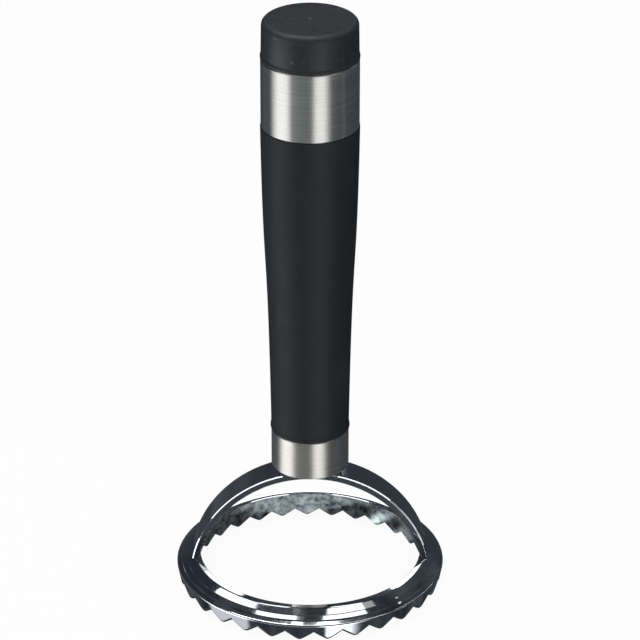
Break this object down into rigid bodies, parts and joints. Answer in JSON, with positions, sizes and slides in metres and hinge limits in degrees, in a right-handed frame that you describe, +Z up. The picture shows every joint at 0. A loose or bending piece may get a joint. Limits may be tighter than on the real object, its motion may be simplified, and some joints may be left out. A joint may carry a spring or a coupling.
{
  "type": "ravioli cutter",
  "caption": "Hand stamp for cutting and sealing round ravioli: a toothed chrome ring under an arched bail, on a straight black grip with steel ferrules and a flat end cap.",
  "frame": {"origin": "centre of the ring, in the plane of the tooth tips", "axes": "+Z up along the handle, X across the arched bail, front towards -Y"},
  "size_m": [0.072, 0.072, 0.1616],
  "materials": {
    "chrome_head": "bright chrome plate on a zinc casting",
    "brushed_ferrule": "stainless steel brushed around the handle",
    "soft_grip": "matt soft-touch rubber",
    "cap_plastic": "fine-grained matt moulding",
    "core_plastic": "plain black moulding",
    "zinc_steel": "zinc-plated steel"
  },
  "bodies": {
    "root": {"cutter_head": "chrome_head", "lower_ferrule": "brushed_ferrule", "handle_core": "core_plastic", "grip_sleeve": "soft_grip", "upper_ferrule": "brushed_ferrule", "end_cap": "cap_plastic", "tie_bolt": "zinc_steel", "flat_washer": "zinc_steel"}
  },
  "joints": []
}
